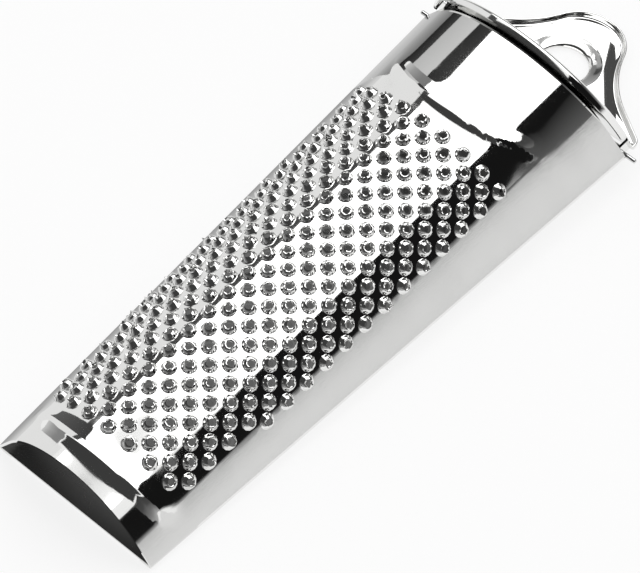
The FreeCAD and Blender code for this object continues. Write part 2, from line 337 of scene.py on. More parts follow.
def half_width(y, z, inset):
    """Half the body's width on the flanks at a height over the back, inside the given inset."""
    radius = arch_radius(y) - inset
    return radius * math.sin(bend) + (axis_low + axis_rise * y + radius * math.cos(bend) - z) / math.tan(bend)


def hem_profile(side, shares):
    """Points from the side of the punched sheet down the flank, round the hem and back up inside.

    The flank is straight, the fold is an arc of 123 degrees, and the hem lies flat under the back plate. Close
    to the lid the hem is cut back to leave room for the lid's ears.
    """
    u0 = side * side_u + 0 * shares
    y_mid = shares * body_length
    edge_z = axis_low + axis_rise * y_mid + arch_radius(y_mid) * math.cos(bend)
    tangent = hem_round * math.tan((math.pi - bend) / 2)
    u_end = arch_radius(y_mid) * bend + (edge_z + sheet) / math.sin(bend) - tangent
    columns = []
    for w in np.linspace(0, 1, flank_steps):
        u = side * (side_u + w * (u_end - side_u))
        columns.append(sheet_point(u, place_along(u, shares)))
    last = columns[-1]
    outward_x, outward_z = side * math.sin(bend), math.cos(bend)
    centre = last - hem_round * np.array([outward_x, 0, outward_z])
    for phi in np.linspace(bend, math.pi, fold_steps)[1:]:
        columns.append(centre + hem_round * np.array([side * math.sin(phi), 0, math.cos(phi)]))
    y = last[:, 1]
    inner_x = half_width(y, 0, sheet)
    width = np.where(shares > relief_share, sheet, hem_width)
    for x, z in ((inner_x - width, -sheet), (inner_x - width, 0), (inner_x, 0)):
        columns.append(np.stack([side * x, y, np.full_like(y, z)], -1))
    inner_top = sheet_point(u0, place_along(u0, shares), -sheet)
    corner = columns[-1]
    for w in np.linspace(0, 1, inner_steps)[1:]:
        columns.append(corner + w * (inner_top - corner))
    return np.stack(columns, axis=1)


hems = [hem_profile(side, side_shares) for side in (1, -1)]
print("points on one hem profile", hems[0].shape[1])

# %% Surfaces that know their normals
weld_gap = 2e-4


def read_all(source, label, kind, width=1):
    """One value or row of values of every element, as an array."""
    values = np.zeros(width * len(source), kind)
    source.foreach_get(label, values)
    return values.reshape(-1, width) if width > 1 else values


class Skin:
    """Points, faces and, where a formula gives it, the true normal at each point."""

    def __init__(self):
        self.points, self.normals, self.faces, self.smooth, self.body = [], [], [], [], 0

    def add(self, points, faces, normals=None, smooth=True):
        """Adds one part; without given normals Blender works them out from the faces."""
        start = sum(len(p) for p in self.points)
        points = np.asarray(points, float).reshape(-1, 3)
        known = np.full(points.shape, np.nan) if normals is None else np.asarray(normals, float).reshape(-1, 3)
        self.points.append(np.column_stack([points, np.full(len(points), self.body)]))
        self.normals.append(known)
        self.faces.extend((np.asarray(faces) + start).tolist())
        self.smooth.extend([smooth] * len(faces))

    def close(self):
        """Ends one closed body: what is added later is not welded to it."""
        self.body += 1

    def build(self, name, sharp):
        """Welds points that coincide, makes the mesh and gives each corner its true or its worked-out normal."""
        points, normals = np.concatenate(self.points), np.concatenate(self.normals)
        cells = (points / [weld_gap, weld_gap, weld_gap, 1]).round().astype(np.int64)
        first, welded = np.unique(cells, axis=0, return_index=True, return_inverse=True)[1:]
        welded = welded.ravel()
        faces, smooth = [], []
        for face, soft in zip(self.faces, self.smooth):
            corners = [f for f, before in zip(face, face[-1:] + face[:-1]) if welded[f] != welded[before]]
            if len(corners) > 2:
                faces.append(corners)
                smooth.append(soft)
        mesh = bpy.data.meshes.new(name)
        mesh.from_pydata(on_table(points[first, :3]).tolist(), [], [welded[f].tolist() for f in faces])
        mesh.polygons.foreach_set("use_smooth", smooth)
        mesh.set_sharp_from_angle(angle=math.radians(sharp))
        corners = read_all(mesh.corner_normals, "vector", np.float32, 3)
        known = normals[np.concatenate([np.asarray(f) for f in faces])] @ turn_down.T
        given = ~np.isnan(known[:, 0])
        corners[given] = known[given]
        mesh.normals_split_custom_set(corners.tolist())
        report_closure(name, mesh)
        return placed(name, mesh)


def report_closure(name, mesh):
    """Counts edges without exactly two faces and edges that both faces run the same way, and adds the volume up.

    The volume is the sum of signed tetrahedra from the origin; it is positive when the faces look outwards.
    """
    loop_vertex = read_all(mesh.loops, "vertex_index", np.int64)
    starts, totals = (read_all(mesh.polygons, label, np.int64) for label in ("loop_start", "loop_total"))
    follow = np.arange(len(loop_vertex)) + 1
    follow[starts + totals - 1] = starts
    ways = np.stack([loop_vertex, loop_vertex[follow]], -1)
    count = len(mesh.vertices)
    forward = ways[:, 0] * count + ways[:, 1]
    backward = ways[:, 1] * count + ways[:, 0]
    uses = np.unique(np.sort(ways, axis=1) @ [count, 1], return_counts=True)[1]
    same_way = len(forward) - len(np.unique(forward))
    place = read_all(mesh.vertices, "co", np.float32, 3).astype(float) * 1000
    first_corner = loop_vertex[np.repeat(starts, totals)]
    volume = (place[first_corner] * np.cross(place[ways[:, 0]], place[ways[:, 1]])).sum() / 6
    print(name, "faces", len(mesh.polygons), "open or extra edges", int((uses != 2).sum()),
          "unpaired directions", int((~np.isin(forward, backward)).sum()), "doubled directions", same_way,
          "volume in mm3", round(volume, 1))


# %% Put the body's skin together
def flat_normals(flat, side):
    """The sheet's true normals at points of the u, y plane, outwards or inwards."""
    return side * sheet_normal(flat[:, 0], flat[:, 1])


def body_skin():
    """The whole body: punched sheet outside and inside, burrs, hems and the two cut ends."""
    skin = Skin()
    skin.add(sheet_point(outer_flat[:, 0], outer_flat[:, 1]), outer_triangles, flat_normals(outer_flat, 1))
    skin.add(sheet_point(inner_flat[:, 0], inner_flat[:, 1], -sheet), inner_triangles[:, ::-1],
             flat_normals(inner_flat, -1))
    burrs = sheet_point(burr_u[:, None, None] + ring_u, burr_y[:, None, None] + ring_y, ring_h)
    quads = strip_faces(len(ring_radius), ring_steps, closed=True)
    first = np.arange(burr_count) * len(ring_radius) * ring_steps
    skin.add(burrs, (quads[None] + first[:, None, None]).reshape(-1, 4))
    for side, hem in zip((1, -1), hems):
        add_hem(skin, side, hem)
    for share in (0.0, 1.0):
        y = place_along(end_across, share)
        edge = np.stack([sheet_point(end_across, y), sheet_point(end_across, y, -sheet)])
        quads = strip_faces(2, len(end_across))
        skin.add(edge, quads if share else quads[:, ::-1], smooth=False)
    return skin


def add_hem(skin, side, hem):
    """One flank with its hem: smooth on the outside with true normals, flat on the inside, and two end faces."""
    stations, columns = hem.shape[:2]
    quads = strip_faces(stations, columns)
    quads = quads if side > 0 else quads[:, ::-1]
    phi = np.concatenate([np.full(flank_steps, bend), np.linspace(bend, math.pi, fold_steps)[1:]])
    folded = np.stack([side * np.sin(phi), 0 * phi, np.cos(phi)], -1)[None] * np.ones((stations, 1, 1))
    flank_normal = sheet_normal(side * (side_u + 1) + 0 * side_shares, side_shares * body_length)
    folded[:, :flank_steps] = flank_normal[:, None]
    smooth = np.arange(len(quads)) % (columns - 1) < len(phi) - 1
    renumber = quads // columns * len(phi) + quads % columns
    skin.add(hem[:, :len(phi)], renumber[smooth], folded)
    skin.add(hem, quads[~smooth], smooth=False)
    for end in (0, -1):
        loop = np.arange(columns)[::1 if (side > 0) == (end == -1) else -1]
        skin.add(hem[end], [loop.tolist()], smooth=False)


shell = body_skin().build("grater_shell_skin", sharp=75.0)
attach(shell, "body")
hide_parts("grater_shell")

# %% [markdown]
# ## The lid and its tab
#
# The lid is one pressed sheet: a half-round cap with a rounded edge and a short skirt, bent into a bell-shaped
# tab that lies nearly flat with the back. The tab's edge is turned up all round, which stiffens it and makes it
# safe to hold, and a dished ring is pressed round its hanging hole. The cap and the ring are profiles turned
# about an axis; the tab's rim is a profile carried along the bell outline, moved in by the same amount at each
# of its points, which for arcs only changes their radii.

# %% Measures of the lid
lid_slope, lid_rim_gap, lid_side_gap = 0.276, 0.25, 0.41
skirt_height, skirt_end, lid_edge_round = 1.65, 4.4, 0.8
strip_depth, strip_inset = 1.55, 0.06
cap_steps_near, cap_steps_far, cap_join = 7, 73, 1e-4
crown_height = axis_high + radius_high
lid_under_y = body_length - rim_slope * crown_height + lid_rim_gap + lid_slope * crown_height
lid_radius = max(math.hypot(half_width(body_length, skirt_end, 0), skirt_end),
                 crown_height * math.hypot(1, lid_slope)) + lid_side_gap + sheet
tab_lean, tab_setback = math.radians(11), 0.72
head_radius, corner_radius, wing_run, wing_height, wing_overhang = 8.4, 2.0, 7.0, 4.45, 0.4
shoulder, flare = math.radians(68), math.radians(32)
sweep_radius = (lid_radius + wing_overhang - head_radius * math.sin(shoulder) - wing_run * math.cos(flare)
                - corner_radius * (1 - math.sin(flare))) / (math.sin(shoulder) - math.sin(flare))
head_height = (wing_height + sweep_radius * math.cos(flare) + wing_run * math.sin(flare)
               - (head_radius + sweep_radius) * math.cos(shoulder))
hole_height = head_height - 5.4
print("lid radius", round(lid_radius, 3), "sweep radius", round(sweep_radius, 3), "head", round(head_height, 3))


def from_lid(points):
    """Lid plane (x across, y up the lid from the hinge line, z out of it) to the plate's frame."""
    tilt = math.atan(lid_slope)
    up_lid = np.array([0, -math.sin(tilt), math.cos(tilt)])
    out = np.array([0, math.cos(tilt), math.sin(tilt)])
    base = np.array([0, lid_under_y - lid_slope * wire_z, wire_z])
    points = np.asarray(points, float)
    return base + points[..., :1] * [1, 0, 0] + points[..., 1:2] * up_lid + points[..., 2:] * out


def from_tab(points):
    """Tab plane (x across, y up the tab, z out of its front) to the plate's frame."""
    along = np.array([0, math.cos(tab_lean), -math.sin(tab_lean)])
    out = np.array([0, math.sin(tab_lean), math.cos(tab_lean)])
    points = np.asarray(points, float)
    return (np.array([0, wire_y, wire_z - tab_setback]) + points[..., :1] * [1, 0, 0]
            + points[..., 1:2] * along + points[..., 2:] * out)


def arc(centre_a, centre_b, radius, start, end, count):
    """Points on an arc of a profile, by angle in degrees."""
    angle = np.radians(np.linspace(start, end, count))
    return np.stack([centre_a + radius * np.cos(angle), centre_b + radius * np.sin(angle)], -1)


# %% The cap
def cap_grid():
    """A profile (radius, height) turned about the cap's centre: top, rounded edge, skirt, and the inside back.

    Near the hinge the skirt stops: there every point below the sheet's underside is drawn up to it.
    """
    edge = arc(lid_radius - lid_edge_round, sheet - lid_edge_round, lid_edge_round, 90, 0, 7)
    foot = sheet - skirt_height
    profile = np.concatenate([[(0, sheet), (lid_radius / 2, sheet)], edge, [(lid_radius, foot)],
                              [(lid_radius - sheet, foot), (lid_radius - sheet, 0), (lid_radius / 2, 0), (0, 0)]])
    over = lid_radius - lid_edge_round + math.sqrt(lid_edge_round ** 2 - (lid_edge_round - sheet) ** 2)
    drawn_up = np.stack([np.minimum(profile[:, 0], over), 0 * profile[:, 0]], -1)
    plain = np.where(profile[:, 1:] < 0, drawn_up, profile)
    free = math.asin(skirt_end / lid_radius)
    near = np.linspace(0, free, cap_steps_near)
    far = np.linspace(free + cap_join, math.pi - free - cap_join, cap_steps_far)
    theta = np.concatenate([near, far, math.pi - near[::-1]])[:, None]
    skirted = (theta > free + cap_join / 2) & (theta < math.pi - free - cap_join / 2)
    r, z = (np.where(skirted, profile[:, axis], plain[:, axis]) for axis in (0, 1))
    return np.stack([r * np.cos(theta), r * np.sin(theta), z], -1)


def add_cap(skin):
    """The half-round cap, and the straight strip of sheet between it and the tab."""
    grid = cap_grid()
    skin.add(from_lid(grid), strip_faces(*grid.shape[:2])[:, ::-1])
    for end, turned in ((0, 1), (-1, -1)):
        skin.add(from_lid(grid[end]), [np.arange(grid.shape[1])[::turned].tolist()], smooth=False)
    skin.close()
    half = lid_radius - strip_inset
    corners = np.array([(x, y, z) for z in (0, sheet) for x, y in
                        ((-half, -strip_depth), (half, -strip_depth), (half, 0), (-half, 0))])
    sides = [(0, 1, 5, 4), (1, 2, 6, 5), (2, 3, 7, 6), (3, 0, 4, 7)]
    skin.add(from_lid(corners), [(3, 2, 1, 0), (4, 5, 6, 7)] + sides, smooth=False)
    skin.close()


# %% The bell outline
def bell(inset):
    """Right half of the tab's edge from the wing corner to the head, moved in by inset: arcs keep their centres."""
    inset = np.asarray(inset, float)[..., None]
    reach = head_radius + sweep_radius
    sweep_x, sweep_h = reach * math.sin(shoulder), head_height + reach * math.cos(shoulder)
    wing_x = sweep_x - sweep_radius * math.sin(flare) + wing_run * math.cos(flare)
    wing_h = sweep_h - sweep_radius * math.cos(flare) - wing_run * math.sin(flare)
    corner_x, corner_h = wing_x - corner_radius * math.sin(flare), wing_h - corner_radius * math.cos(flare)
    turn = np.radians(np.linspace(90, math.degrees(flare), 9))
    x = [corner_x + (corner_radius - inset) * np.sin(turn)]
    h = [corner_h + (corner_radius - inset) * np.cos(turn)]
    turn = np.linspace(flare, shoulder, 25)
    x.append(sweep_x - (sweep_radius + inset) * np.sin(turn))
    h.append(sweep_h - (sweep_radius + inset) * np.cos(turn))
    turn = np.linspace(shoulder, 0, 21)[1:]
    x.append((head_radius - inset) * np.sin(turn))
    h.append(head_height + (head_radius - inset) * np.cos(turn))
    return np.concatenate(x, -1), np.concatenate(h, -1)


def under_lid(z):
    """Height up the tab at which the lid's underside crosses it, at a distance in front of the tab."""
    rise, run = math.cos(tab_lean), math.sin(tab_lean)
    return (lid_under_y - wire_y + lid_slope * (tab_setback - wire_z)
            - (run + lid_slope * rise) * z) / (rise - lid_slope * run)


rim_inset = 1.5
foot_sunk, foot_least = 0.1, 0.05
rim_profile = np.concatenate([[(rim_inset, 0)], arc(1.0, 0.5, 0.5, 270, 180, 6), arc(0.25, 0.95, 0.25, 0, 180, 7),
                              arc(1.0, 0.5, 1.0, 180, 270, 7), [(rim_inset, -sheet)]])


def rim_grid():
    """The rim's profile at each point of the outline, from the lid on one side round to the lid on the other."""
    x, h = bell(rim_profile[:, 0])
    foot = np.minimum(under_lid(rim_profile[:, 1])[:, None] + foot_sunk, h[:, :1] - foot_least)
    x, h = np.concatenate([x[:, :1], x], 1), np.concatenate([foot, h], 1)
    x = np.concatenate([x, -x[:, -2::-1]], 1)
    h = np.concatenate([h, h[:, -2::-1]], 1)
    return np.stack([x, h, rim_profile[:, 1][:, None] + 0 * x], -1).transpose(1, 0, 2)


# %% The dished ring
ring_edge = 7.55
ring_profile = np.array([(ring_edge, 0), (7.4, -0.03), (7.25, -0.10), (7.0, -0.20), (5.7, -0.58), (5.25, -0.74),
                         (4.97, -0.93), (4.85, -1.18), (4.85, -1.45), (4.92, -1.55), (5.2, -1.55), (5.33, -1.45),
                         (5.35, -1.3), (5.5, -1.12), (5.85, -0.98), (7.2, -0.6), (7.4, -0.54), (ring_edge, -sheet)])
ring_turns = 48
ring_around = 2 * np.pi * np.arange(ring_turns) / ring_turns
beyond_chords = 0.996


def ring_grid():
    """The ring's profile (radius, height) turned about the hole."""
    r, z = ring_profile[:, :1], ring_profile[:, 1:]
    return np.stack([r * np.cos(ring_around), hole_height + r * np.sin(ring_around), z + 0 * ring_around], -1)


def in_outline(centre, outline):
    """Which places lie inside a closed outline: a line to the right crosses it an odd number of times."""
    after = np.roll(outline, -1, axis=0)
    low, high = outline[None], after[None]
    x, y = centre[:, :1], centre[:, 1:]
    spans = (low[..., 1] > y) != (high[..., 1] > y)
    rise = np.where(spans, high[..., 1] - low[..., 1], 1.0)
    crossing = low[..., 0] + (y - low[..., 1]) * (high[..., 0] - low[..., 0]) / rise
    return (spans & (crossing > x)).sum(1) % 2 == 1


def flat_web(z):
    """The flat of the tab between rim and ring, as triangles with even inner points."""
    x, h = bell(rim_inset)
    foot = min(under_lid(z) + foot_sunk, h[0] - foot_least)
    x, h = np.concatenate([[x[0]], x]), np.concatenate([[foot], h])
    edge = np.stack([np.concatenate([x, -x[-2::-1]]), np.concatenate([h, h[-2::-1]])], -1)
    hole = np.stack([ring_edge * np.cos(ring_around), hole_height + ring_edge * np.sin(ring_around)], -1)
    count = len(edge)
    ends = [(i, (i + 1) % count) for i in range(count)]
    ends += [(count + i, count + (i + 1) % ring_turns) for i in range(ring_turns)]
    flat = np.concatenate([edge, hole])

    def on_web(centre):
        around = np.hypot(centre[:, 0], centre[:, 1] - hole_height)
        return (around > ring_edge * beyond_chords) & in_outline(centre, edge)

    flat, triangles = triangulated(flat, ends, on_web)
    return np.concatenate([flat, np.full((len(flat), 1), z)], 1), triangles


def add_tab(skin):
    """Rim, ring and the two flats, closed at the foot inside the lid's sheet."""
    rim, ring = rim_grid(), ring_grid()
    skin.add(from_tab(rim), strip_faces(*rim.shape[:2]))
    quads = strip_faces(*ring.shape[:2], closed=True)
    skin.add(from_tab(ring), quads)
    front_z = np.array([0, math.sin(tab_lean), math.cos(tab_lean)])
    for z, way in ((0.0, 1), (-sheet, -1)):
        flat, triangles = flat_web(z)
        skin.add(from_tab(flat), triangles[:, ::way], np.broadcast_to(way * front_z, flat.shape))
    for end, way in ((0, 1), (-1, -1)):
        skin.add(from_tab(rim[end]), [np.arange(rim.shape[1])[::-way].tolist()], smooth=False)
    foot = np.stack([rim[0, 0], rim[-1, 0], rim[-1, -1], rim[0, -1]])
    skin.add(from_tab(foot), [(0, 1, 2, 3)], smooth=False)
    skin.close()


# %% The ears
ear_setback, ear_radius, ear_hole = 1.1, 1.6, 0.5
ear_x = lid_radius - ear_setback
stem_height, stem_depth, stem_slope = 2.4, 1.15, 0.1944
ear_steps, far_off = 48, 50.0


def add_ears(skin):
    """Two flat ears on the wire: a round eye run out into a stem that stops inside the lid's sheet."""
    phi = 2 * np.pi * (np.arange(ear_steps) + 0.5) / ear_steps
    cosine, sine = np.cos(phi), np.sin(phi)

    def to_line(distance, rate, least):
        return np.where(rate > least, distance / np.maximum(rate, least), far_off)

    up_to_lid = to_line(stem_height, cosine + lid_slope * sine, 0.05)
    side = to_line(ear_radius, np.abs(sine), 1e-6)
    below = to_line(stem_depth, -sine - stem_slope * cosine, 0.02)
    stem = np.where(cosine > 0, np.minimum(np.minimum(up_to_lid, side), below), 0)
    rho = np.maximum(ear_radius, stem)
    loops = [(rho, 0), (rho, sheet), (ear_hole + 0 * rho, sheet), (ear_hole + 0 * rho, 0), (rho, 0)]
    for sign in (1, -1):
        grid = np.stack([np.stack([sign * (ear_x + x) + 0 * r, wire_y + r * cosine, wire_z + r * sine], -1)
                         for r, x in loops])
        quads = strip_faces(len(loops), len(phi), closed=True)
        skin.add(grid, quads if sign > 0 else quads[:, ::-1], smooth=False)
        skin.close()


lid_skin = Skin()
add_cap(lid_skin)
add_tab(lid_skin)
add_ears(lid_skin)
lid = lid_skin.build("lid_sheet", sharp=40.0)
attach(lid, "lid")
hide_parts("lid")

# %% [markdown]
# ## Finishes
#
# All pieces are bare stainless steel, and differ only in how they were worked. The shell and the lid were
# polished after rolling and mirror the room; the back plate keeps the soft mill finish of the sheet; the wire
# was drawn. One node group gives what they share: faint lines left by working, and patches where handling has
# dulled the surface. Each material sets how strong these are.

# %% Node group: worked steel
def make_worked_steel():
    """Fine lines along one direction and dull patches, both from noise in Object coordinates."""
    group = bpy.data.node_groups.new("worked_steel", "ShaderNodeTree")
    for label, kind, value in (("Lines", "NodeSocketVector", (1.0, 1.0, 1.0)),
                               ("Line Depth", "NodeSocketFloat", 0.1),
                               ("Smooth", "NodeSocketFloat", 0.04), ("Dull", "NodeSocketFloat", 0.12),
                               ("Light", "NodeSocketColor", (0.8, 0.8, 0.79, 1)),
                               ("Dark", "NodeSocketColor", (0.74, 0.74, 0.74, 1))):
        socket = group.interface.new_socket(name=label, in_out="INPUT", socket_type=kind)
        socket.default_value = value
    for label, kind in (("Color", "NodeSocketColor"), ("Roughness", "NodeSocketFloat"),
                        ("Normal", "NodeSocketVector")):
        group.interface.new_socket(name=label, in_out="OUTPUT", socket_type=kind)
    nodes, link = group.nodes, group.links.new
    given, out = nodes.new("NodeGroupInput"), nodes.new("NodeGroupOutput")
    place = nodes.new("ShaderNodeTexCoord")
    stretch = nodes.new("ShaderNodeVectorMath")
    stretch.operation = "MULTIPLY"
    link(place.outputs["Object"], stretch.inputs[0])
    link(given.outputs["Lines"], stretch.inputs[1])
    lines = nodes.new("ShaderNodeTexNoise")
    lines.inputs["Scale"].default_value = 1.0
    lines.inputs["Detail"].default_value = 3.0
    link(stretch.outputs[0], lines.inputs["Vector"])
    patches = nodes.new("ShaderNodeTexNoise")
    patches.inputs["Scale"].default_value = 95.0
    patches.inputs["Detail"].default_value = 4.0
    link(place.outputs["Object"], patches.inputs["Vector"])
    spread = nodes.new("ShaderNodeMapRange")
    spread.inputs["From Min"].default_value = 0.42
    spread.inputs["From Max"].default_value = 0.72
    link(patches.outputs["Fac"], spread.inputs["Value"])
    rough = nodes.new("ShaderNodeMix")
    link(spread.outputs["Result"], rough.inputs["Factor"])
    link(given.outputs["Smooth"], rough.inputs["A"])
    link(given.outputs["Dull"], rough.inputs["B"])
    tone = nodes.new("ShaderNodeMix")
    tone.data_type = "RGBA"
    link(spread.outputs["Result"], tone.inputs["Factor"])
    link(given.outputs["Light"], tone.inputs[6])
    link(given.outputs["Dark"], tone.inputs[7])
    bump = nodes.new("ShaderNodeBump")
    bump.inputs["Distance"].default_value = 0.00002
    link(given.outputs["Line Depth"], bump.inputs["Strength"])
    link(lines.outputs["Fac"], bump.inputs["Height"])
    link(tone.outputs[2], out.inputs["Color"])
    link(rough.outputs[0], out.inputs["Roughness"])
    link(bump.outputs["Normal"], out.inputs["Normal"])
    return group


worked_steel = make_worked_steel()


def steel(name, lines, depth, smooth, dull, light, dark):
    """A metal that takes its colour, roughness and fine relief from the worked-steel group."""
    material = bpy.data.materials.new(name)
    material.use_nodes = True
    nodes, link = material.node_tree.nodes, material.node_tree.links.new
    shader = nodes["Principled BSDF"]
    shader.inputs["Metallic"].default_value = 1.0
    group = nodes.new("ShaderNodeGroup")
    group.node_tree = worked_steel
    for label, value in (("Lines", lines), ("Line Depth", depth), ("Smooth", smooth), ("Dull", dull),
                         ("Light", (*light, 1)), ("Dark", (*dark, 1))):
        group.inputs[label].default_value = value
    link(group.outputs["Color"], shader.inputs["Base Color"])
    link(group.outputs["Roughness"], shader.inputs["Roughness"])
    link(group.outputs["Normal"], shader.inputs["Normal"])
    return material


# %% The four steels
polished = steel("polished_sheet", (9000, 300, 9000), 0.05, 0.04, 0.065, (0.84, 0.84, 0.83), (0.82, 0.82, 0.81))
lid_polished = steel("polished_lid", (300, 9000, 9000), 0.05, 0.045, 0.075, (0.85, 0.85, 0.84), (0.83, 0.83, 0.82))
mill = steel("mill_sheet", (9000, 250, 9000), 0.5, 0.22, 0.34, (0.74, 0.74, 0.73), (0.68, 0.68, 0.67))
drawn = steel("drawn_wire", (200, 9000, 9000), 0.5, 0.12, 0.22, (0.74, 0.74, 0.74), (0.66, 0.66, 0.66))

worn = {"grater_shell": polished, "back_plate": mill, "compartment_floor": mill, "hinge_wire": drawn,
        "lid": lid_polished}
pairs = [(frame["nodes"][name], material) for name, material in worn.items()]
for piece, material in pairs + [(shell, polished), (lid, lid_polished)]:
    piece.data.materials.clear()
    piece.data.materials.append(material)

# %% [markdown]
# ## Floor, sky and lamps
#
# The photograph is nearly shadowless, on pure white. The floor takes part of its white from its own light for
# camera and mirror rays, and the rest from the lamps, so that a soft shadow stays under the grater.

# %% Floor and sky
floor_mesh = bpy.data.meshes.new("floor")
floor_mesh.from_pydata([(-6, -6, 0), (6, -6, 0), (6, 6, 0), (-6, 6, 0)], [], [(0, 1, 2, 3)])
floor = placed("floor", floor_mesh)


def seen_rays(nodes, link):
    """1 for rays from the camera, from mirrors and through glass, and 0 for light that scatters."""
    path = nodes.new("ShaderNodeLightPath")
    total = None
    for label in ("Is Glossy Ray", "Is Transmission Ray"):
        add = nodes.new("ShaderNodeMath")
        add.operation = "ADD"
        add.use_clamp = True
        link((total or path).outputs[0 if total else "Is Camera Ray"], add.inputs[0])
        link(path.outputs[label], add.inputs[1])
        total = add
    return total.outputs[0]


floor_material = bpy.data.materials.new("pale_floor")
floor_material.use_nodes = True
nodes, link = floor_material.node_tree.nodes, floor_material.node_tree.links.new
nodes.remove(nodes["Principled BSDF"])
matt, glow = nodes.new("ShaderNodeBsdfDiffuse"), nodes.new("ShaderNodeEmission")
both = nodes.new("ShaderNodeMixShader")
matt.inputs["Color"].default_value = (0.9, 0.9, 0.9, 1)
part = nodes.new("ShaderNodeMath")
part.operation = "MULTIPLY"
part.inputs[1].default_value = 0.8
link(seen_rays(nodes, link), part.inputs[0])
link(part.outputs[0], both.inputs["Fac"])
link(matt.outputs[0], both.inputs[1])
link(glow.outputs[0], both.inputs[2])
link(both.outputs[0], nodes["Material Output"].inputs["Surface"])
floor.data.materials.append(floor_material)

world = bpy.data.worlds.new("studio")
scene.world = world
world.use_nodes = True
nodes, link = world.node_tree.nodes, world.node_tree.links.new
sky = nodes["Background"]
sky.inputs["Color"].default_value = (1, 1, 1, 1)
level = nodes.new("ShaderNodeMapRange")
level.inputs["To Min"].default_value = 0.55
level.inputs["To Max"].default_value = 1.0
link(seen_rays(nodes, link), level.inputs["Value"])
link(level.outputs["Result"], sky.inputs["Strength"])

# %% Lamps
middle = Vector((0, 0, 0.01))


def soft_lamp(name, direction, distance, size, power):
    """A rectangular area lamp at a distance in one direction, turned to the grater."""
    data = bpy.data.lights.new(name, "AREA")
    data.shape = "RECTANGLE"
    data.size, data.size_y = size
    data.energy = power
    lamp = placed(name, data)
    lamp.location = middle + distance * Vector(direction).normalized()
    lamp.rotation_euler = (lamp.location - middle).to_track_quat("Z", "Y").to_euler()
    return lamp


soft_lamp("overhead", (0.0, 0.5, 0.85), 1.6, (2.9, 1.25), 16.0)
fill = soft_lamp("fill", (-0.6, -0.9, 1.4), 2.0, (0.9, 0.9), 5.0)
fill.visible_glossy = False
scene.view_settings.view_transform = "Standard"

# %% [markdown]
# ## Flags
#
# A polished arch mirrors nearly half the room in a hand's breadth, so a photographer draws on it with flags:
# black and grey cards just outside the picture. Each flag here is worked out backwards. It covers a patch of the
# sheet as the camera sees it in the mirror, from one turn and place along the body to another, and it stands
# where the mirrored rays of that patch's points have run for a given distance. Flags are seen in mirrors only.
#
# The further off a card stands, the more the fine relief of the steel blurs its edge. The marks that are sharp
# in the photograph, a bar at the lower bead, a band on the tab and the tones of the dished ring, therefore have
# cards that hang only some millimetres over the steel.

# %% Where the camera's rays go
eye = (np.array(camera.matrix_world.translation) * 1000 - shift) @ turn_down
far_reach, stripe_reach, near_reach, bar_reach = 0.45, 0.44, 0.012, 0.008
card_rest, least_reach = 0.0006, 2e-4
flag_rows, flag_columns = 41, 14
dish_slope, dish_steps = np.array([(5.75, -0.57), (7.0, -0.20)]), 40


def plain_point(u, y):
    """The sheet without its beads, which the flags are aimed at."""
    return sheet_point(u, y, -bead_lift(u, y))


def plain_normal(u, y):
    """Cross product of the tangents of the sheet without beads."""
    step = 1e-3
    normal = np.cross(plain_point(u + step, y) - plain_point(u - step, y),
                      plain_point(u, y + step) - plain_point(u, y - step))
    return normal / np.linalg.norm(normal, axis=-1, keepdims=True)


def mirrored(point, normal, reach):
    """Where the camera's ray has come, a given reach after the mirror; it stops just over the floor."""
    ray = point - eye
    ray /= np.linalg.norm(ray, axis=-1, keepdims=True)
    ray = (ray - 2 * (ray * normal).sum(-1, keepdims=True) * normal) @ turn_down.T
    start = on_table(point)
    down = np.minimum(ray[..., 2], -1e-9)
    length = np.clip((start[..., 2] - card_rest) / -down, least_reach, reach)
    return start + length[..., None] * ray


print("camera in the plate's frame in mm", eye.round(1))

# %% Cards that only mirrors see
def mirror_only(name, points, faces, tones):
    """A stage card of plain light, its brightness given at each point, that only mirrors see."""
    mesh = bpy.data.meshes.new(name)
    mesh.from_pydata(np.reshape(points, (-1, 3)).tolist(), [], np.asarray(faces).tolist())
    shade = mesh.attributes.new("tone", "FLOAT", "POINT")
    shade.data.foreach_set("value", np.asarray(tones, np.float32).ravel())
    mesh.materials.append(card_material)
    card = placed(name, mesh)
    card.visible_camera = card.visible_diffuse = card.visible_shadow = card.visible_transmission = False


card_material = bpy.data.materials.new("card")
card_material.use_nodes = True
nodes, link = card_material.node_tree.nodes, card_material.node_tree.links.new
nodes.remove(nodes["Principled BSDF"])
light, shade = nodes.new("ShaderNodeEmission"), nodes.new("ShaderNodeAttribute")
shade.attribute_name = "tone"
link(shade.outputs["Fac"], light.inputs["Strength"])
link(light.outputs[0], nodes["Material Output"].inputs["Surface"])

# %% Cards worked out backwards
def aimed(name, points, normals, tones, reach):
    """A card through the places that a grid of points with its normals mirrors to the camera."""
    mirror_only(name, mirrored(points, normals, reach), strip_faces(*points.shape[:2]), tones)


def flag(name, places, left, right, tones, reach=far_reach):
    """A card over a patch of the sheet: its left and right turns (degrees) are given at places along it (mm).

    Beyond the bend the turn counts on along the flat flank, one millimetre for each degree over 57. The tone
    runs evenly from the left edge to the right one.
    """
    y = np.linspace(places[0], places[-1], flag_rows)
    share = np.linspace(0, 1, flag_columns)[:, None]
    turn = (1 - share) * np.interp(y, places, left) + share * np.interp(y, places, right)
    limit = math.degrees(bend)
    u = np.radians(np.clip(turn, -limit, limit)) * arch_radius(y) + turn - np.clip(turn, -limit, limit)
    tone = tones[0] + share * (tones[1] - tones[0]) + 0 * y
    y = y + 0 * u
    aimed(name, plain_point(u, y), plain_normal(u, y), tone, reach)


def tab_flag(name, across, up, tone):
    """A card over a patch of the tab's flat, its corners given across and up the tab (mm)."""
    corners = from_tab(np.stack([across, up, 0 * np.asarray(up, float)], -1))
    front = from_tab((0, 0, 1)) - from_tab((0, 0, 0)) + 0 * corners
    mirror_only(name, mirrored(corners, front, near_reach), [np.arange(len(across))],
                np.full(len(across), tone))


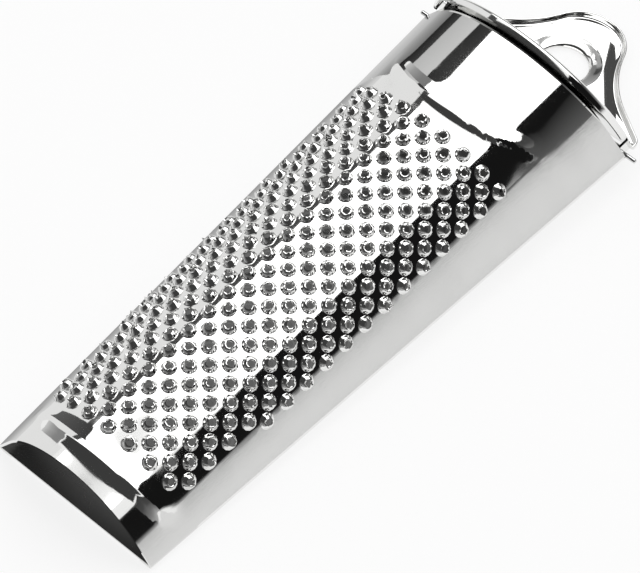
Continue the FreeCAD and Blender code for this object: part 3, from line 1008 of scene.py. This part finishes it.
def dish_flag(name, angles, tones):
    """A card over the slope of the dished ring, between two angles counted from the right (degrees)."""
    angle = np.radians(np.linspace(*angles, dish_steps))[None]
    radius, height = dish_slope[:, :1], dish_slope[:, 1:]
    points = np.stack([radius * np.cos(angle), hole_height + radius * np.sin(angle), height + 0 * angle], -1)
    run, rise = dish_slope[1] - dish_slope[0]
    slope = math.atan2(rise, run)
    normal = np.stack([-math.sin(slope) * np.cos(angle), -math.sin(slope) * np.sin(angle),
                       math.cos(slope) + 0 * angle], -1)
    aimed(name, from_tab(points), from_tab(normal) - from_tab((0, 0, 0)) + 0 * points,
          np.linspace(*tones, dish_steps) + 0 * radius, near_reach)


def level_card(name, height, x_span, y_span, tones):
    """A level rectangle over the floor, its tones given at its corners, the two at low y first."""
    corners = [(x_span[0], y_span[0]), (x_span[1], y_span[0]), (x_span[1], y_span[1]), (x_span[0], y_span[1])]
    mirror_only(name, [(x, y, height) for x, y in corners], [(0, 1, 2, 3)], tones)


# %% Dark walls and level cards
wall_radius, wall_columns = 2.2, 96
wall_angle = 2 * np.pi * np.arange(wall_columns) / wall_columns
wall_heights = np.tan(np.radians([1.0, 12.0, 24.0, 35.0])) * wall_radius
wall_tones = np.array([0.45, 0.20, 0.07, 0.05])
walls = np.stack([np.stack([wall_radius * np.cos(wall_angle), wall_radius * np.sin(wall_angle),
                            h + 0 * wall_angle], -1) for h in wall_heights])
mirror_only("dark_walls", walls, strip_faces(len(wall_heights), wall_columns, closed=True),
            wall_tones[:, None] + 0.20 * np.maximum(0, -np.cos(wall_angle)))
level_card("camera_side", 1.0, (-1.3, 1.3), (-1.5, 0.09), [0.05, 0.05, 0.05, 0.05])
level_card("low_dark", 0.002, (-0.3, 0.5), (-0.6, -0.078), [0.02, 0.02, 0.05, 0.05])
print("wall heights in m", wall_heights.round(2))

# %% The flags on the body
flag("right_black", [-6, 3, 7, 12, 95, 100, 104, 116, 135], [41, 41, 39, 35, 33.0, 34, 35, 34.8, 34.8],
     [55.5, 55.5, 55.5, 55.5, 55.5, 48.5, 46, 41.6, 41], (0.008, 0.008))
flag("right_grey", [99, 108, 116, 135], [48.5, 44, 41.6, 41], [56.5, 57.5, 57.5, 57.5], (0.02, 0.11))
flag("right_fade", [-6, 99], [55.5, 55.5], [58.0, 58.0], (0.01, 0.7))
flag("right_flank", [-6, 135], [57.6, 57.6], [63.5, 71], (0.74, 0.80))
flag("left_edge", [-6, 98], [-63, -69], [-46, -46], (0.30, 0.75))
flag("left_pale", [-6, 98], [-46, -46], [-11, -11], (0.86, 0.88))
flag("field_stripe", [10, 95], [-10.8, -10.8], [-6.9, -6.9], (0.07, 0.07), reach=stripe_reach)
flag("low_bar", [8.1, 9.4], [-36, -31], [-3, -6], (0.12, 0.05), reach=bar_reach)
flag("left_grey", [98, 135], [-69, -71], [-39, -39], (0.70, 0.22))
flag("left_stripe", [98, 135], [-39, -39], [-31, -31], (0.02, 0.05))
flag("left_band", [98, 104, 135], [-31, -31, -31], [-14, -17, -17], (0.55, 0.66))
flag("middle_stripe", [98, 104, 135], [-14, -17, -17], [-5, -7, -11], (0.03, 0.05))

# %% The cards over the tab
tab_flag("tab_band", (2.7, 6.7, 11.8, 16.2, 18.9, 17.4, 13.5, 8.5, 4.2),
         (20.9, 14.1, 8.2, 3.6, 2.1, 5.0, 10.0, 16.0, 20.6), 0.07)
dish_flag("dish_grey", (30, 175), (0.40, 0.45))
dish_flag("dish_end", (8, 30), (0.03, 0.10))

# %% [markdown]
# ## Painted shade inside
#
# Through the open end and the torn burrs the inside shows dark in the photograph, because it lies in shade. One
# more card, of painted shade, follows the arch just under the sheet and out in front of the open end, and
# mirrors there see its dark tones in place of that shade; the tones change only along the body.

# %% The card of painted shade under the sheet
inner_gap = 0.9
inner_places, inner_shade_tones = [-24, 5, 15, 60, 80, 100], [0.03, 0.02, 0.15, 0.16, 0.07, 0.03]
inner_u, inner_y = np.meshgrid(np.linspace(-21.5, 21.5, 44), np.linspace(-24, 100, 32), indexing="ij")
# A card of painted shade: its dark tones stand in for the shade inside the body and in front of the open end.
mirror_only("inner_painted_shade", on_table(sheet_point(inner_u, inner_y, -sheet - inner_gap)),
            strip_faces(*inner_u.shape), np.interp(inner_y, inner_places, inner_shade_tones))
print("points on the card under the sheet", inner_u.size)
